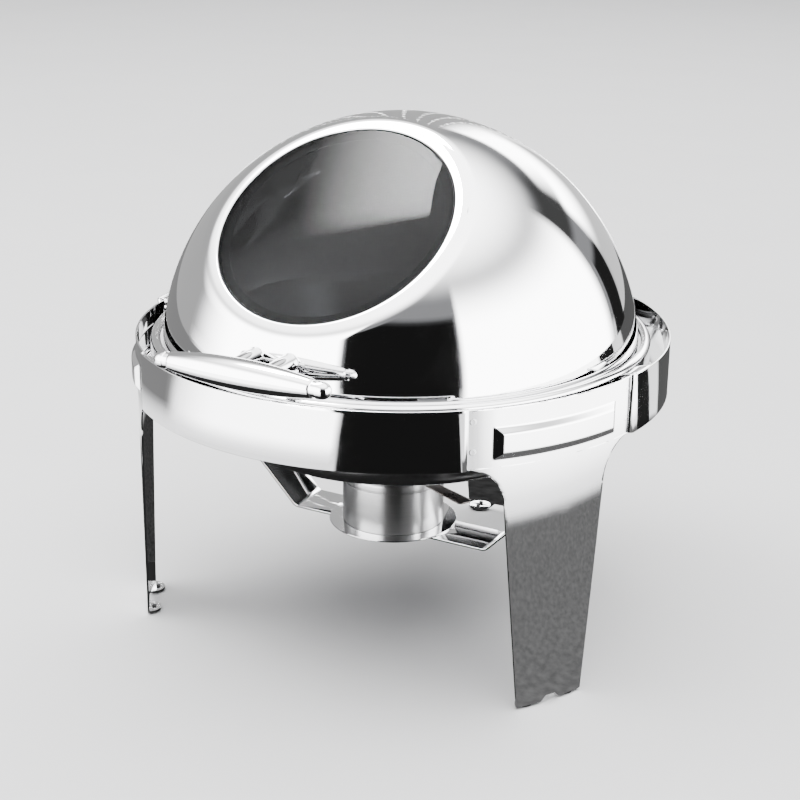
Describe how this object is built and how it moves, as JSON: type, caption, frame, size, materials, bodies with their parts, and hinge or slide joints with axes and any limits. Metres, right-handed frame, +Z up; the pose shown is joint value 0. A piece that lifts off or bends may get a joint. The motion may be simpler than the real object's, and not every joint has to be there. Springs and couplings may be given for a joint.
{
  "type": "roll top chafer",
  "caption": "Round buffet food warmer on three legs, with a window cover that rolls back under the pans and a fuel burner on a strap.",
  "frame": {"origin": "on the floor, under the vertical axis of the ring and the three legs", "axes": "+Z is up; -Y is the front, where the handle and the window are; X is the cover's pivot axis"},
  "size_m": [0.46, 0.4826, 0.44],
  "materials": {
    "mirror_steel": "mirror-polished stainless steel",
    "pan_steel": "drawn stainless steel, softly bright",
    "satin_steel": "satin brushed stainless steel",
    "dark_steel": "heat-darkened steel",
    "black_rubber": "matt black rubber or silicone",
    "nylon": "natural nylon",
    "smoked_glass": "clear toughened glass with a light grey tint"
  },
  "bodies": {
    "stand": {"band_front": "mirror_steel", "band_right": "mirror_steel", "band_left": "mirror_steel", "leg_front_right": "mirror_steel", "leg_front_left": "mirror_steel", "leg_rear": "mirror_steel", "foot_pads_front_right": "black_rubber", "foot_pads_front_left": "black_rubber", "foot_pads_rear": "black_rubber", "inner_ring": "mirror_steel", "pivot_plate_left": "satin_steel", "pivot_pin_left": "satin_steel", "pivot_nut_left": "satin_steel", "inner_spacer_left": "nylon", "outer_washer_left": "nylon", "pivot_plate_right": "satin_steel", "pivot_pin_right": "satin_steel", "pivot_nut_right": "satin_steel", "inner_spacer_right": "nylon", "outer_washer_right": "nylon", "burner_strap": "mirror_steel", "pan_carrier": "pan_steel", "stop_shelves": "satin_steel", "stop_pads": "black_rubber", "burner_plate": "mirror_steel", "burner_rivets": "satin_steel"},
    "water_pan": {"water_pan": "pan_steel"},
    "food_pan": {"food_pan": "pan_steel"},
    "fuel_cup": {"fuel_cup": "satin_steel", "cup_cap": "satin_steel", "damper_rivet": "satin_steel"},
    "damper": {"damper": "dark_steel"},
    "cover": {"cover_shell": "mirror_steel", "cover_bush_left": "nylon", "cover_bush_right": "nylon", "window_seal": "black_rubber", "window_glass": "smoked_glass", "handle": "mirror_steel", "handle_post_left": "mirror_steel", "handle_post_right": "mirror_steel", "handle_screws": "satin_steel"}
  },
  "joints": [
    {"name": "cover_roll", "type": "hinge", "parent": "stand", "child": "cover", "pos_m": [0, 0, 0.236], "axis": [-1, 0, 0], "range_deg": [0, 155]},
    {"name": "water_pan_lift", "type": "slide", "parent": "stand", "child": "water_pan", "axis": [0, 0, 1], "range_m": [0, 0.015]},
    {"name": "food_pan_lift", "type": "slide", "parent": "water_pan", "child": "food_pan", "axis": [0, 0, 1], "range_m": [0, 0.03]},
    {"name": "fuel_cup_lift", "type": "slide", "parent": "stand", "child": "fuel_cup", "axis": [0, 0, 1], "range_m": [0, 0.02]},
    {"name": "damper_swing", "type": "hinge", "parent": "fuel_cup", "child": "damper", "pos_m": [-0.03889, 0.01464, 0.126], "axis": [0, 0, 1], "range_deg": [0, 60]}
  ]
}
